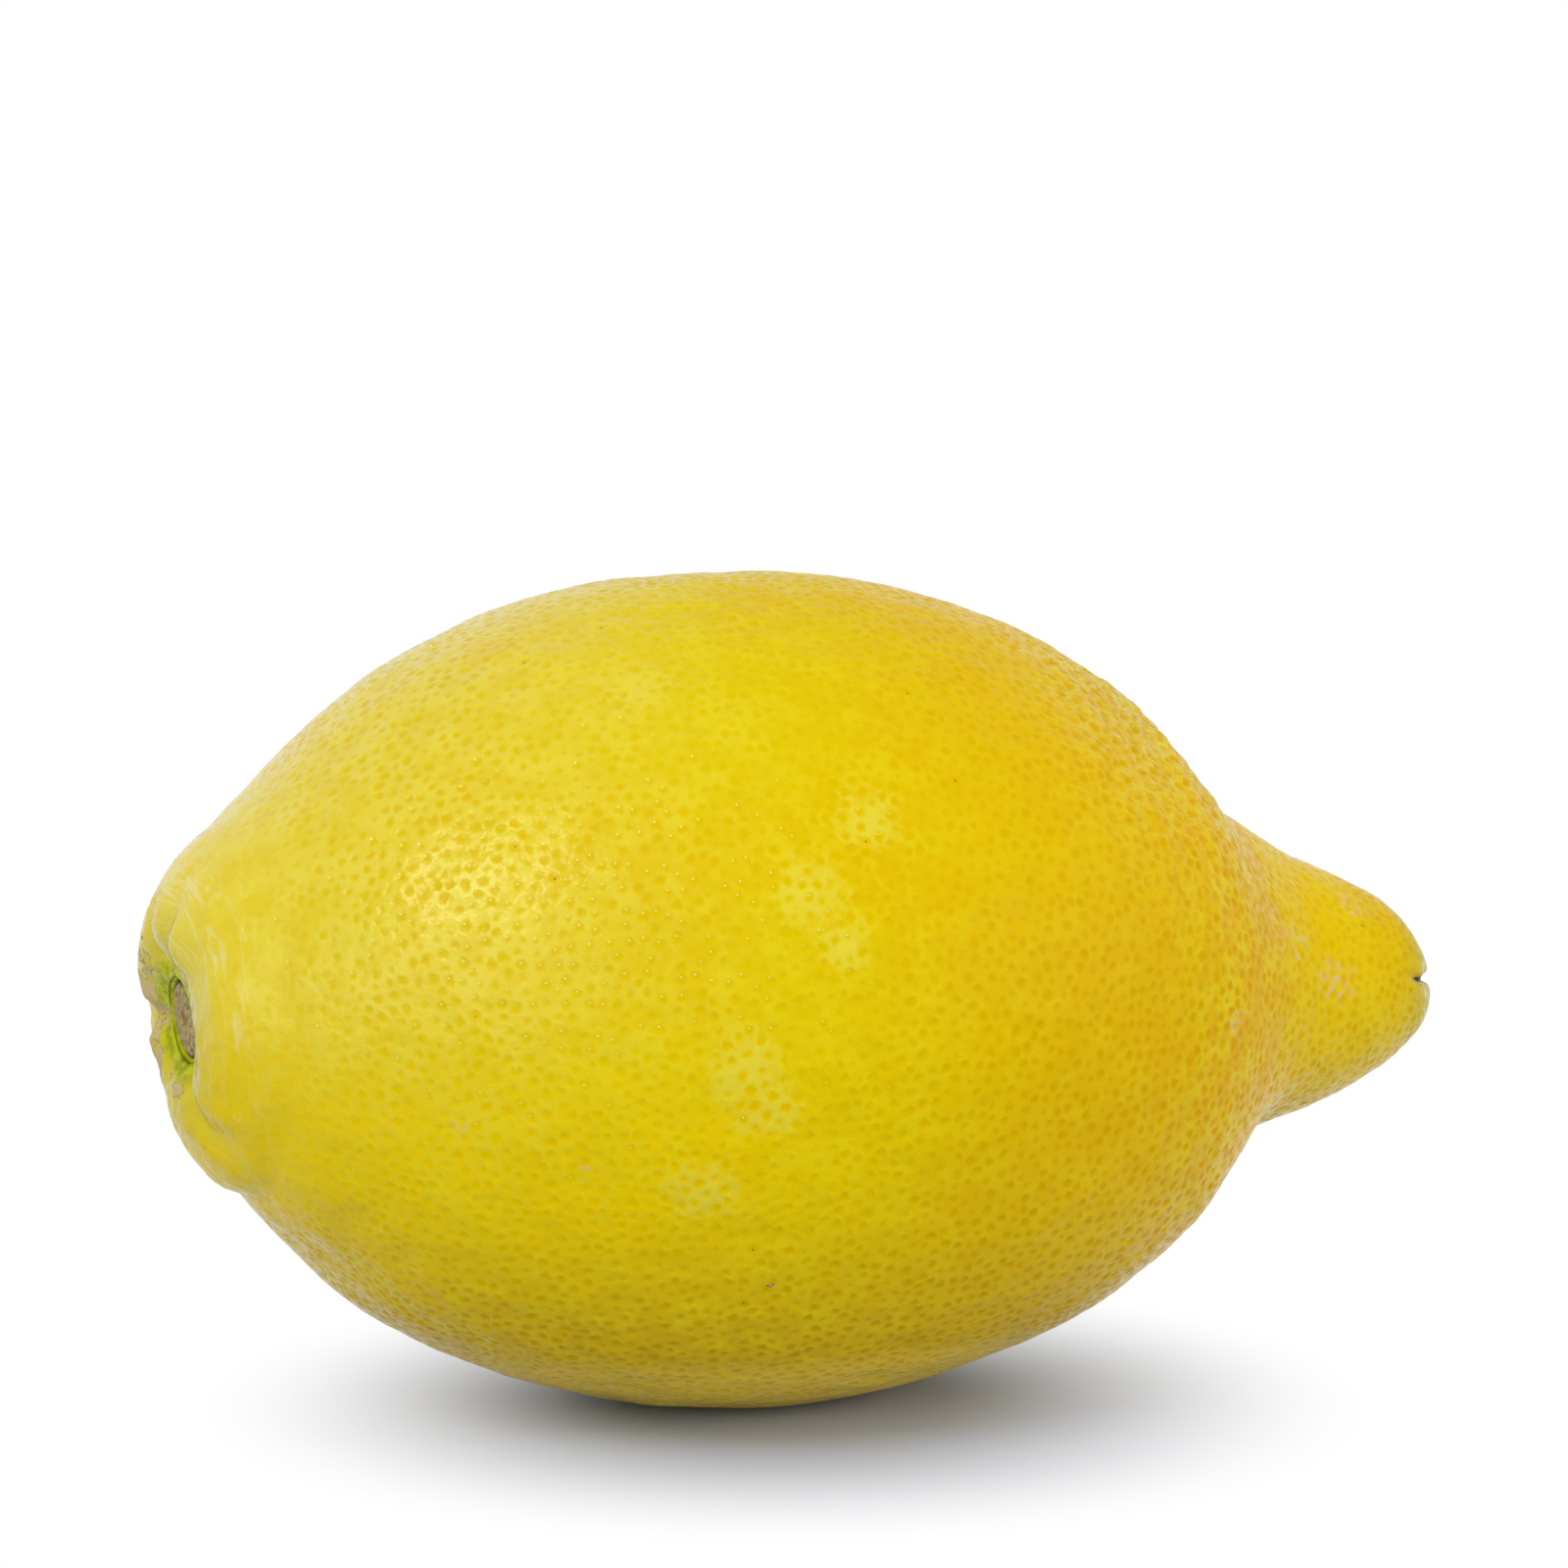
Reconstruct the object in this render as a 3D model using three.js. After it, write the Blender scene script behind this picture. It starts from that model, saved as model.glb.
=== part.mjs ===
// A ripe lemon lying on its side, as picked, and the dry stub of its stalk in the collar at the stem end.
//
// Millimetres. +X runs along the fruit from the stem end to the tip and +Z is up. The origin is on the
// surface that the fruit rests on, under the middle of its box. While the fruit is shaped it lies along
// +X with its widest ring at 0, and a place on it is a distance along its axis and an angle around it:
// 0 degrees on top, 90 on the near side, 180 underneath and 270 on the far side.

import * as THREE from 'three';

const { degToRad, radToDeg, smoothstep, euclideanModulo } = THREE.MathUtils;

// The body is an ellipsoid of revolution about the fruit's own axis.
const body = { radius: 29.9, halfLength: 41.2 };

// The collar stands round the stem end, and the stub sits in a socket in the middle of it. The whole end
// leans: it faces a little downwards, and its middle is a little under the fruit's axis.
const collar = { crest: -41.7, crestRadius: 6.6, mouth: -40.5, mouthRadius: 3.02 };
const socket = { floor: -39.5, floorRadius: 2.98 };
const stemEndLean = { angle: degToRad(9.8), drop: 1.6, from: -34.5, to: -40.0 };

// The tip is a blunt nipple, with a small pit where the flower's style fell off.
const tip = { end: 54.0, pitDepth: 0.6, pitRadius: 1.2 };

// The stub is what is left of the stalk: a low woody disc, clear of its socket all round.
const stub = { radius: 2.68, taper: 0.1, foot: -39.8, rim: -40.45, crown: -40.65, crownRadius: 1.9 };

// How the fruit lies: its axis dips a little towards the tip, and its weight presses a small flat spot.
const axisDip = degToRad(2.2);
const flatSpotDepth = 0.5;

// Mounds, with a height, and hollows, with a negative one, that make the fruit less than perfectly round.
// Their reach is how far they run out along the axis, in millimetres, and around it, in degrees.
const mounds = [
  // Hollows above and below the root of the nipple, which is set off most sharply from below.
  { along: 34.4, around: 5, alongReach: 3.6, aroundReach: 34, height: -1.8 },
  { along: 38.4, around: 154, alongReach: 2.4, aroundReach: 30, height: -1.4 },
  { along: 33.0, around: 182, alongReach: 4.0, aroundReach: 40, height: -0.5 },
  // The top of the nipple's end is rounded away, and a groove runs from the pit to the near side.
  { along: 53.0, around: 350, alongReach: 2.0, aroundReach: 60, height: -0.7 },
  { along: 53.6, around: 84, alongReach: 1.4, aroundReach: 30, height: -0.8 },
  // The collar is fuller underneath, has one small lobe on the far side, and is waisted behind.
  { along: -39.6, around: 192, alongReach: 3.0, aroundReach: 36, height: 0.8 },
  { along: -41.2, around: 250, alongReach: 1.6, aroundReach: 12, height: 0.3 },
  { along: -36.0, around: 190, alongReach: 2.6, aroundReach: 40, height: -0.4 },
];

// Creases that run out from the stalk over the collar, where the skin is drawn in like the neck of a bag.
// Their slant is how far they turn around the axis for each millimetre that they run out from it.
const creases = [
  { around: 263, depth: 1.0, width: 8, slant: 0, reach: 9.0 },
  { around: 340, depth: 0.7, width: 7, slant: 1.0, reach: 10.5 },
  { around: 16, depth: 0.6, width: 8, slant: -1.0, reach: 12.5 },
  { around: 52, depth: 0.35, width: 9, slant: 0.5, reach: 13.5 },
  { around: 150, depth: 0.7, width: 9, slant: -1.5, reach: 12.0 },
  { around: 212, depth: 0.3, width: 8, slant: 0, reach: 9.5 },
];

// The sections inside the fruit leave its body very slightly ribbed.
const ribs = { count: 5, turn: degToRad(25), height: 0.15, fadeFrom: 24, fadeTo: 12 };

const segmentsRound = 64;

// ---- outlines ----
// Each point has its distance from the axis first and its distance along the axis second.

function outlinePoints(...pairs) {
  return pairs.map(([radius, along]) => new THREE.Vector2(radius, along));
}

// From the middle of the socket's floor, over the collar, body and nipple, to the bottom of the pit.
function fruitOutline() {
  const seat = outlinePoints(
    [0, socket.floor],
    [socket.floorRadius / 2, socket.floor],
    [socket.floorRadius, socket.floor],
  );
  const collarCurve = new THREE.SplineCurve(outlinePoints(
    [collar.mouthRadius, collar.mouth],
    [4.6, -41.1],
    [collar.crestRadius, collar.crest],
    [8.7, -41.0],
    [11.1, -39.2],
    [13.7, -36.6],
  ));
  const bodyCurve = new THREE.EllipseCurve(0, 0, body.radius, body.halfLength, -1.06, 0.98);
  const nippleCurve = new THREE.SplineCurve(outlinePoints(
    [14.2, 36.6],
    [11.8, 39.2],
    [10.1, 41.6],
    [9.1, 43.9],
    [7.8, 46.9],
    [5.8, 50.6],
    [3.7, 52.8],
    [tip.pitRadius, tip.end],
    [tip.pitRadius / 2, tip.end - 0.7 * tip.pitDepth],
    [0, tip.end - tip.pitDepth],
  ));
  return [
    ...seat,
    ...collarCurve.getSpacedPoints(14),
    ...bodyCurve.getSpacedPoints(30),
    ...nippleCurve.getSpacedPoints(24),
  ];
}

function stubOutline() {
  return outlinePoints(
    [0, stub.crown],
    [stub.crownRadius, stub.crown],
    [stub.radius, stub.rim],
    [stub.radius - stub.taper, stub.foot],
    [0, stub.foot],
  );
}

// Turns an outline about the fruit's axis, which is laid along +X, with a face of it straight underneath.
function turnedAboutAxis(outline) {
  const geometry = new THREE.LatheGeometry(outline, segmentsRound, Math.PI / segmentsRound);
  geometry.rotateZ(-Math.PI / 2);
  return geometry;
}

// ---- shaping ----

// Shortest turn between two angles, in degrees.
function turnBetween(a, b) {
  return euclideanModulo(a - b + 180, 360) - 180;
}

function bell(distance, reach) {
  return Math.exp(-((distance / reach) ** 2));
}

function moundHeight(along, around) {
  let height = 0;
  for (const mound of mounds) {
    const shareAlong = bell(along - mound.along, mound.alongReach);
    height += mound.height * shareAlong * bell(turnBetween(around, mound.around), mound.aroundReach);
  }
  return height;
}

function creaseDepth(radius, around) {
  let depth = 0;
  for (const crease of creases) {
    const middle = crease.around + crease.slant * (radius - collar.crestRadius);
    const shareOut = 1 - smoothstep(radius, collar.crestRadius + 1, crease.reach);
    depth += crease.depth * shareOut * bell(turnBetween(around, middle), crease.width);
  }
  return depth;
}

function ribHeight(radius, around) {
  const shareOut = smoothstep(radius, ribs.fadeTo, ribs.fadeFrom);
  return ribs.height * shareOut * Math.cos(ribs.count * degToRad(around) + ribs.turn);
}

// How far the skin stands out from the outline at one place on the fruit. The socket and the two ends of
// the axis stay as they are.
function relief(along, radius, around) {
  const atStemEnd = along < 0;
  const height = moundHeight(along, around) + ribHeight(radius, around)
    - (atStemEnd ? creaseDepth(radius, around) : 0);
  const plainRadius = atStemEnd ? collar.mouthRadius : 0;
  return height * smoothstep(radius, plainRadius, plainRadius + 1.5);
}

// Leans what lies at the stem end: all of it past the end of the range, and none of it before the start.
function leanStemEnd(point) {
  const share = smoothstep(-point.x, -stemEndLean.from, -stemEndLean.to);
  const leaning = new THREE.Vector3(point.x - collar.mouth, point.y, point.z)
    .applyAxisAngle(new THREE.Vector3(0, 1, 0), -stemEndLean.angle)
    .add(new THREE.Vector3(collar.mouth, 0, -stemEndLean.drop));
  point.lerp(leaning, share);
}

// Moves every point of a geometry by a function of the point and the normal there.
function shape(geometry, move) {
  const positions = geometry.getAttribute('position');
  const normals = geometry.getAttribute('normal');
  const point = new THREE.Vector3();
  const normal = new THREE.Vector3();
  for (let i = 0; i < positions.count; i += 1) {
    point.fromBufferAttribute(positions, i);
    normal.fromBufferAttribute(normals, i);
    move(point, normal);
    positions.setXYZ(i, point.x, point.y, point.z);
  }
  geometry.computeVertexNormals();
}

// ---- pieces ----

function makeFruit() {
  const geometry = turnedAboutAxis(fruitOutline());
  shape(geometry, (point, normal) => {
    const radius = Math.hypot(point.y, point.z);
    const around = radToDeg(Math.atan2(-point.y, point.z));
    point.addScaledVector(normal, relief(point.x, radius, around));
    leanStemEnd(point);
  });
  geometry.rotateY(axisDip);
  return geometry;
}

function makeStub() {
  const geometry = turnedAboutAxis(stubOutline());
  shape(geometry, leanStemEnd);
  geometry.rotateY(axisDip);
  return geometry;
}

const fruitGeometry = makeFruit();
const stubGeometry = makeStub();

// The fruit is set down on the surface, and what would sink into it is pressed flat.
fruitGeometry.computeBoundingBox();
const { min, max } = fruitGeometry.boundingBox;
const setDown = [-(min.x + max.x) / 2, -(min.y + max.y) / 2, -min.z - flatSpotDepth];
fruitGeometry.translate(...setDown);
stubGeometry.translate(...setDown);
shape(fruitGeometry, (point) => {
  point.z = Math.max(point.z, 0);
});

const fruit = new THREE.Mesh(
  fruitGeometry,
  new THREE.MeshStandardMaterial({ color: 0xe6cc1e, roughness: 0.4, metalness: 0 }),
);
fruit.name = 'fruit';

const stemStub = new THREE.Mesh(
  stubGeometry,
  new THREE.MeshStandardMaterial({ color: 0x8f7b58, roughness: 0.9, metalness: 0 }),
);
stemStub.name = 'stem_stub';

const lemon = new THREE.Group();
lemon.add(fruit, stemStub);

export default lemon;
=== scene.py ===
# A ripe lemon lying on its side: its rind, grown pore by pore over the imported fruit, and the dry stub
# of its stalk. Sizes are in millimetres and turns in degrees, unless a note says otherwise.
import math

import bpy
import numpy as np
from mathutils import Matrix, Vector, noise
from mathutils.bvhtree import BVHTree
from mathutils.geometry import delaunay_2d_cdt


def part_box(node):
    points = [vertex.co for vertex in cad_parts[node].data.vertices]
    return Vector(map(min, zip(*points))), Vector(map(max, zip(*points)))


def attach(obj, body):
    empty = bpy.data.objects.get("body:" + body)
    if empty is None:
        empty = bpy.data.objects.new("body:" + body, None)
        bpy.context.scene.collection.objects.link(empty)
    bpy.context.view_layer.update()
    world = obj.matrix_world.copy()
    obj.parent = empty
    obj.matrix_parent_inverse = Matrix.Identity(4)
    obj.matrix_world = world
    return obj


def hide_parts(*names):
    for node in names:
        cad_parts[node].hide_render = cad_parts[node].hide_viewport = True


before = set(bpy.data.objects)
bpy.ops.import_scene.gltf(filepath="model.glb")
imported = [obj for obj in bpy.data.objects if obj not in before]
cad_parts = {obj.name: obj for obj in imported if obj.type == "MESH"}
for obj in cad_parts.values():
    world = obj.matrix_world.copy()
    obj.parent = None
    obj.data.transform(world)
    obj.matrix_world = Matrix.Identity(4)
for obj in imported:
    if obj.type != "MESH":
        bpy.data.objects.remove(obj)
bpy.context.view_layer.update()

mm = 0.001                          # the scene is in metres
chance = np.random.default_rng(11)


def eased(values, low, high):       # 0 at low, 1 at high, smooth between
    share = np.clip((np.asarray(values) - low) / (high - low), 0, 1)
    return share * share * (3 - 2 * share)


def band(values, comesIn, goes):    # up over the first range and down again over the second
    return eased(values, *comesIn) * (1 - eased(values, *goes))


def bell(distance, reach):
    return np.exp(-(np.asarray(distance) / reach) ** 2)


def unit(vectors):
    return vectors / np.linalg.norm(vectors, axis=-1, keepdims=True)


def turnBetween(a, b):              # shortest turn between angles, in degrees
    return (a - b + 180) % 360 - 180


def onSide(around, middle, reach):  # 1 on one side of the fruit and 0 away from it
    return bell(turnBetween(around, middle), reach)


def wander(points, size, seed=0.0, detail=2):
    # Soft noise from about -1 to 1, with lumps of one size.
    shift = Vector((seed * 17.3, seed * -9.1, seed * 5.7))
    return np.array([noise.fractal(Vector(p) / size + shift, 0.8, 2.0, detail) for p in points])


# A place on the fruit is how far along its axis it is from the widest ring, towards the tip, and how
# far around: 0 on top, 90 on the near side, 180 underneath, 270 on the far side.

lying = {
    "axisDip": 2.2,                 # the axis dips towards the tip
    "stemDip": 7.6,                 # and the stem end faces a little downwards
    "ringBack": 5.7,                # from the middle of the box back to the widest ring
    "ringDown": 0.25,
    "tipAlong": 53.4,               # bottom of the pit at the tip
}

fruitLow, fruitHigh = [np.array(corner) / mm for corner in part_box("fruit")]
stubLow, stubHigh = [np.array(corner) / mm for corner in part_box("stem_stub")]
fruitMiddle = (fruitLow + fruitHigh) / 2
stubMiddle = (stubLow + stubHigh) / 2
dip, stemDip = math.radians(lying["axisDip"]), math.radians(lying["stemDip"])
towardsTip = np.array([math.cos(dip), 0, -math.sin(dip)])
towardsTop = np.array([math.sin(dip), 0, math.cos(dip)])
towardsNear = np.array([0, -1.0, 0])
stemOut = np.array([-math.cos(stemDip), 0, -math.sin(stemDip)])
stemUp = np.array([-math.sin(stemDip), 0, math.cos(stemDip)])
ringMiddle = fruitMiddle + [-lying["ringBack"], 0, -lying["ringDown"]]
tipPit = ringMiddle + lying["tipAlong"] * towardsTip
span = unit(tipPit - stubMiddle)                    # from the stub to the tip
heart = stubMiddle + span * ((ringMiddle - stubMiddle) @ span)


def placeOf(points):                # along, around and radius of each point
    away = points - ringMiddle
    up, near = away @ towardsTop, away @ towardsNear
    return away @ towardsTip, np.degrees(np.arctan2(near, up)) % 360, np.hypot(up, near)


def stemPlaceOf(points):            # the same about the stub's own axis: out, around and radius
    away = points - stubMiddle
    up, near = away @ stemUp, away @ towardsNear
    return away @ stemOut, np.degrees(np.arctan2(near, up)) % 360, np.hypot(up, near)


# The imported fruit, as a smooth surface, with its socket left out and made anew.

socket = {
    "mouthRadius": 3.1,
    "rough": 0.12,                  # how far the mouth's edge strays from a circle
    "corners": 72,
    "margin": 0.03,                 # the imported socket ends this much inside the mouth
    "clear": 0.3,                   # round the mouth, with no fine skin
    "mouthOut": 0.28,               # from the middle of the stub, outwards
    "lip": [(2.99, 0.24), (2.88, 0.14), (2.83, -0.06), (2.83, -0.72), (1.4, -0.72)],
    "lipRough": 0.07,
}
bulge = 0.75                        # share by which the flat faces are curved over
stemRise = {                        # the whole stem end sits a little higher than packed
    "up": 0.6,
    "from": 7.5,
    "to": 14,
}


def ringOf(corners):                # directions round the stub's axis
    turns = np.linspace(0, 2 * math.pi, corners, endpoint=False)
    return np.cos(turns)[:, None] * stemUp + np.sin(turns)[:, None] * towardsNear


def raiseStem(points):
    _, _, stemRadius = stemPlaceOf(points)
    atStem = points[:, 0] < ringMiddle[0]
    rise = stemRise["up"] * (1 - eased(stemRadius, stemRise["from"], stemRise["to"])) * atStem
    return points + rise[:, None] * stemUp


def readFruit():
    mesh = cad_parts["fruit"].data
    mesh.calc_loop_triangles()
    corners = np.empty(len(mesh.vertices) * 3)
    mesh.vertices.foreach_get("co", corners)
    triangles = np.empty(len(mesh.loop_triangles) * 3, int)
    mesh.loop_triangles.foreach_get("vertices", triangles)
    merged, which = np.unique(np.round(corners.reshape(-1, 3) / mm, 4), axis=0, return_inverse=True)
    triangles = which.reshape(-1)[triangles].reshape(-1, 3)
    _, _, stemRadius = stemPlaceOf(merged)
    inSeat = (stemRadius < socket["mouthRadius"] - socket["margin"]) & (merged[:, 0] < fruitMiddle[0])
    triangles = triangles[~inSeat[triangles].all(axis=1)]
    a, b, c = (merged[triangles[:, k]] for k in range(3))
    facing = np.cross(b - a, c - a)
    normals = np.zeros_like(merged)
    for k in range(3):
        np.add.at(normals, triangles[:, k], facing)
    lengths = np.linalg.norm(normals, axis=1, keepdims=True)
    return merged, triangles, normals / np.maximum(lengths, 1e-9), np.linalg.norm(facing, axis=1) / 2


fruitCorners, fruitFaces, fruitNormals, fruitAreas = readFruit()
fruitTree = BVHTree.FromPolygons(fruitCorners.tolist(), fruitFaces.tolist())


def onFruit(points):
    # Moves points along rays from the heart onto the curved-over surface. Gives its normals too.
    hits = [fruitTree.ray_cast(Vector(heart), Vector(p)) for p in unit(points - heart)]
    missed = sum(hit[0] is None for hit in hits)
    if missed:
        raise RuntimeError(f"{missed} rays found no skin")
    spots = np.array([hit[0] for hit in hits])
    faces = fruitFaces[[hit[2] for hit in hits]]
    a, b, c = (fruitCorners[faces[:, k]] for k in range(3))
    whole = np.cross(b - a, c - a)
    size = (whole * whole).sum(axis=1)
    shareB = (np.cross(spots - a, c - a) * whole).sum(axis=1) / size
    shareC = (np.cross(b - a, spots - a) * whole).sum(axis=1) / size
    shares = np.stack([1 - shareB - shareC, shareB, shareC])
    curved, normals = np.zeros_like(spots), np.zeros_like(spots)
    for k, share in enumerate(shares):
        corner, normal = fruitCorners[faces[:, k]], fruitNormals[faces[:, k]]
        drop = ((spots - corner) * normal).sum(axis=1, keepdims=True)
        curved += share[:, None] * (spots - drop * normal)
        normals += share[:, None] * normal
    spots = spots + bulge * (curved - spots)
    spots[:, 2] = np.maximum(spots[:, 2], fruitLow[2])
    return spots, unit(normals)


pores = {
    "gap": 0.93,                    # least distance between two
    "gapAtTip": 0.76,
    "nearTip": (36, 50),            # along the fruit
    "gapVaries": 0.08,              # by this share of it
    "gapRough": 0.1,                # and it is this share wider on the shoulder
    "darts": 420000,                # tries at placing one
    "rim": 0.44,                    # where its dimple ends, as a share of the way to the next pore
    "rimAtFine": 0.8,               # or of the way to the fine skin
    "clear": 0.5,                   # distance kept from the fine skin
    "depth": 0.085,
    "quietDepth": 0.4,              # share of it that is left near the collar
    "roughDepth": 0.17,             # what the shoulder adds
}
fineSkin = {                        # where plain points stand close together instead
    "collarRadius": 8.8,
    "collarGap": 0.33,
    "tipRadius": 3.2,
    "tipGap": 0.3,
    "slitGap": 0.2,
    "slitReach": 0.8,
    "darts": 130000,
}
slit = {                            # the scar of the flower's style, which runs out of the pit
    "around": 84,                   # towards the near side
    "start": 52,                    # along the fruit
    "bend": 2.4,                    # degrees that it turns up for each millimetre outwards
    "from": 49.5,
    "to": 51.0,
    "width": 0.27,
    "darkWidth": 0.3,
    "brownWidth": 0.55,
    "depth": 0.5,
}


def slitShare(points, width):       # 1 along the middle of the slit and 0 off it
    along, around, radius = placeOf(points)
    turn = turnBetween(around, slit["around"] - slit["bend"] * (slit["start"] - along))
    beside = radius * np.sin(np.radians(turn))
    onNear = np.abs(turn) < 90
    return bell(beside, width) * eased(along, slit["from"], slit["to"]) * onNear


def throwDarts(count, areas):
    faces = fruitFaces[chance.choice(len(fruitFaces), count, p=areas / areas.sum())]
    u, v = chance.random((2, count))
    over = u + v > 1
    u[over], v[over] = 1 - u[over], 1 - v[over]
    a, b, c = (fruitCorners[faces[:, k]] for k in range(3))
    return a + u[:, None] * (b - a) + v[:, None] * (c - a)


shoulder = {                        # where the skin is rough, towards the root of the nipple
    "comesIn": (12, 25),            # along the fruit
    "goes": (31, 37),
    "above": (20, 38),              # around it, and how far it reaches
    "below": (122, 20),
    "lessBelow": 0.12,              # as a share
}


def onShoulder(points):
    along, around, _ = placeOf(points)
    below = shoulder["lessBelow"] * onSide(around, *shoulder["below"])
    sideways = onSide(around, *shoulder["above"]) + below
    return band(along, shoulder["comesIn"], shoulder["goes"]) * np.minimum(sideways, 1)


def fineGapAt(points):              # 0 where the skin has pores, or the gap between plain points
    along, _, _ = placeOf(points)
    _, _, stemRadius = stemPlaceOf(points)
    onCollar = (stemRadius < fineSkin["collarRadius"]) & (along < 0)
    atTip = np.linalg.norm(points - tipPit, axis=1) < fineSkin["tipRadius"]
    bySlit = slitShare(points, fineSkin["slitReach"]) > 0.1
    gap = np.where(onCollar, fineSkin["collarGap"], np.where(atTip, fineSkin["tipGap"], 0.0))
    return np.where(bySlit, fineSkin["slitGap"], gap)


def keepClear(darts, gaps, others=(), otherGap=0.0):
    # Keeps each dart that lands clear of those kept before it, and of the other points.
    kept = []
    cell = max(float(gaps.max()), otherGap)
    grid = {}
    for point in others:
        grid.setdefault(tuple(int(x // cell) for x in point), []).append((*point, otherGap))
    around = [(i, j, k) for i in (-1, 0, 1) for j in (-1, 0, 1) for k in (-1, 0, 1)]
    for (x, y, z), gap in zip(darts.tolist(), gaps.tolist()):
        i, j, k = int(x // cell), int(y // cell), int(z // cell)
        free = True
        for di, dj, dk in around:
            for ox, oy, oz, otherReach in grid.get((i + di, j + dj, k + dk), ()):
                reach = min(gap, otherReach)
                if (x - ox) ** 2 + (y - oy) ** 2 + (z - oz) ** 2 < reach * reach:
                    free = False
                    break
            if not free:
                break
        if free:
            kept.append((x, y, z))
            grid.setdefault((i, j, k), []).append((x, y, z, gap))
    return kept


def mouthRing():
    circle = ringOf(socket["corners"])
    radius = socket["mouthRadius"] + socket["rough"] * np.abs(wander(circle * 3, 1.6, 3))
    return stubMiddle + radius[:, None] * circle + socket["mouthOut"] * stemOut


def poreGaps(darts):
    along, _, _ = placeOf(darts)
    gaps = pores["gap"] + (pores["gapAtTip"] - pores["gap"]) * eased(along, *pores["nearTip"])
    varied = 1 + pores["gapVaries"] * chance.standard_normal(len(darts)).clip(-1, 1)
    return gaps * varied * (1 + pores["gapRough"] * onShoulder(darts))


def placePoints():
    # The socket's mouth first, then the pit at the tip, the pores, and the fine skin round both.
    mouth, _ = onFruit(mouthRing())
    fixed = np.vstack([mouth, [tipPit]])
    darts = throwDarts(pores["darts"], fruitAreas)
    gaps = poreGaps(darts)
    withPores = fineGapAt(darts) == 0
    poreSpots = keepClear(darts[withPores], gaps[withPores])
    fineFaces = fineGapAt(fruitCorners[fruitFaces].mean(axis=1)) > 0
    darts = throwDarts(fineSkin["darts"], np.where(fineFaces, fruitAreas, 0))
    gaps = fineGapAt(darts)
    _, _, stemRadius = stemPlaceOf(darts)
    byMouth = (stemRadius < socket["mouthRadius"] + socket["clear"]) & (darts[:, 0] < 0)
    fine = (gaps > 0) & ~byMouth
    others = np.vstack([fixed, poreSpots]).tolist()
    fineSpots = keepClear(darts[fine], gaps[fine], others, pores["clear"])
    points = np.vstack([fixed, poreSpots, fineSpots])
    isPore = np.zeros(len(points), bool)
    isPore[len(fixed):len(fixed) + len(poreSpots)] = True
    return points, isPore


points, isPore = placePoints()
print("pores", int(isPore.sum()), "and fine points", int((~isPore).sum()))


unrolling = {
    "steps": 4000,                  # from the tip to the mouth, as turns about the heart
    "nearTip": 0.0004,              # where the first one is, in radians
    "nearMouth": 0.03,              # and how far short of the stub the last is
    "spokes": 8,
    "margin": 1.05,                 # by which the mouth is laid further out
}


def unrolled(points):
    # Lays the skin out on a plane without bending its small shapes, with the tip in the middle and
    # the mouth outside.
    steps = np.linspace(unrolling["nearTip"], math.pi - unrolling["nearMouth"], unrolling["steps"])
    side = unit(np.cross(span, [0, 0, 1.0]))
    upright = np.cross(side, span)
    distance = np.zeros_like(steps)
    turns = np.linspace(0, 2 * math.pi, unrolling["spokes"], endpoint=False)
    for turn in turns:
        spoke = math.cos(turn) * upright + math.sin(turn) * side
        rays = np.cos(steps)[:, None] * span + np.sin(steps)[:, None] * spoke
        hits = [fruitTree.ray_cast(Vector(heart), Vector(ray)) for ray in rays]
        lengths = [hit[3] if hit[0] is not None else 0.0 for hit in hits]
        distance += np.array(lengths) / len(turns)
    along = np.hypot(np.gradient(distance, steps), distance) / (distance * np.sin(steps))
    growth = np.concatenate([[0], np.cumsum((along[1:] + along[:-1]) / 2 * np.diff(steps))])
    away = unit(points - heart)
    slope = np.arccos(np.clip(away @ span, -1, 1))
    middle = np.interp(math.pi / 2, steps, growth)
    reach = np.exp(np.interp(slope, steps, growth) - middle)
    turn = np.arctan2(away @ side, away @ upright)
    return np.stack([reach * np.cos(turn), reach * np.sin(turn)], axis=1)


def netOf(points):
    flat = unrolled(points)
    corners = socket["corners"]
    outside = unrolling["margin"] * np.linalg.norm(flat, axis=1).max()
    flat[:corners] *= outside / np.linalg.norm(flat[:corners], axis=1, keepdims=True)
    flat[corners] = 0
    found = delaunay_2d_cdt([Vector(p) for p in flat], [], [], 0, 1e-9)
    came = [origins[0] for origins in found[3]]
    faces = np.array([[came[k] for k in face] for face in found[2]])
    a, b, c = (points[faces[:, k]] for k in range(3))
    inwards = (np.cross(b - a, c - a) * (a + b + c - 3 * heart)).sum(axis=1) < 0
    if inwards.mean() > 0.5:
        faces = faces[:, ::-1]
    return faces


points, normals = onFruit(points)
net = netOf(points)
print("net", len(net), "faces over", len(points), "points")

allEnds = np.sort(np.vstack([net[:, [0, 1]], net[:, [1, 2]], net[:, [2, 0]]]), axis=1)
edges, edgeOf = np.unique(allEnds, axis=0, return_inverse=True)
edgeOf = edgeOf.reshape(3, -1).T            # for each face, its edges from corners 0, 1 and 2


def dimpleRings():
    # One point on every edge near each end that is a pore, so that each pore gets a ring of them.
    spots, owners, numbers = [], [], np.full((len(edges), 2), -1)
    for end in (0, 1):
        own, other = edges[:, end], edges[:, 1 - end]
        share = np.where(isPore[other], pores["rim"], pores["rimAtFine"])[:, None]
        withPore = np.nonzero(isPore[own])[0]
        numbers[withPore, end] = len(points) + sum(len(s) for s in spots) + np.arange(len(withPore))
        spots.append((points[own] * (1 - share) + points[other] * share)[withPore])
        owners.append(own[withPore])
    return np.vstack(spots), np.concatenate(owners), numbers


ringSpots, ringOwners, ringNumbers = dimpleRings()
ringSpots, ringNormals = onFruit(ringSpots)


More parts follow.
